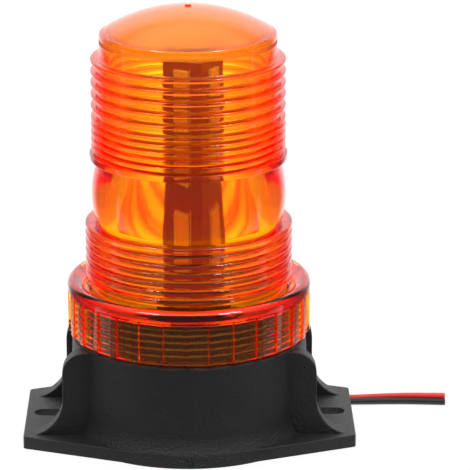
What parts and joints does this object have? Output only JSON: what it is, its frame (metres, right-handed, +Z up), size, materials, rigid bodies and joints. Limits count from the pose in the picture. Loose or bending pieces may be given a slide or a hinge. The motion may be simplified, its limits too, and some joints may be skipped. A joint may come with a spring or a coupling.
{
  "type": "strobe light",
  "caption": "Amber warning beacon: ribbed screw-on lens over an LED tower, on a black base with two slotted ears and a two-core lead.",
  "frame": {"origin": "centre of the base's underside, on the lens axis", "axes": "+Z up along the lens axis; the two mounting ears lie along X; the lead leaves towards +X under the right ear; -Y faces the viewer of the picture"},
  "size_m": [0.1235, 0.0728, 0.125],
  "materials": {
    "black_abs": "fine spark-textured black ABS",
    "amber_lens": "clear amber polycarbonate, polished",
    "screw_steel": "zinc plated",
    "grommet_rubber": "moulded rubber",
    "red_pvc": "extruded soft PVC",
    "black_pvc": "extruded soft PVC",
    "board_laminate": "green solder mask on glass epoxy",
    "capacitor_can": "bare aluminium can",
    "ferrite": "ferrite drum with varnished copper",
    "chip_epoxy": "moulded black epoxy",
    "resistor_ceramic": "glazed ceramic",
    "brass_pins": "plated pins",
    "black_nylon": "moulded nylon",
    "core_aluminium": "extruded tube",
    "led_board_mask": "dark solder mask on aluminium board",
    "led_package": "white package with yellow phosphor window",
    "seal_rubber": "moulded rubber ring"
  },
  "bodies": {
    "base": {"base_housing": "black_abs", "bottom_cover": "black_abs", "cover_screws": "screw_steel", "cable_grommet": "grommet_rubber", "lead_red": "red_pvc", "lead_black": "black_pvc", "inner_lead_red": "red_pvc", "inner_lead_black": "black_pvc", "driver_board": "board_laminate", "board_screws": "screw_steel", "filter_capacitor": "capacitor_can", "power_inductor": "ferrite", "driver_chip": "chip_epoxy", "rectifier_diodes": "chip_epoxy", "chip_resistors": "resistor_ceramic", "pin_header": "brass_pins", "tower_socket": "black_nylon", "socket_screws": "screw_steel", "tower_core": "core_aluminium", "led_board_front": "led_board_mask", "led_board_right": "led_board_mask", "led_board_back": "led_board_mask", "led_board_left": "led_board_mask", "leds_front": "led_package", "leds_right": "led_package", "leds_back": "led_package", "leds_left": "led_package", "top_board": "led_board_mask", "top_leds": "led_package"},
    "seal": {"lens_seal": "seal_rubber"},
    "lens": {"lens": "amber_lens"}
  },
  "joints": [
    {"name": "lens_lift", "type": "slide", "parent": "base", "child": "seal", "axis": [0, 0, 1], "range_m": [0, 0.009]},
    {"name": "lens_turn", "type": "hinge", "parent": "seal", "child": "lens", "pos_m": [0, 0, 0.035], "axis": [0, 0, 1], "range_deg": [0, 1620]}
  ],
  "couplings": [
    {"joint": "lens_turn", "follows": "lens_lift", "rad_per_m": 3141.6}
  ]
}
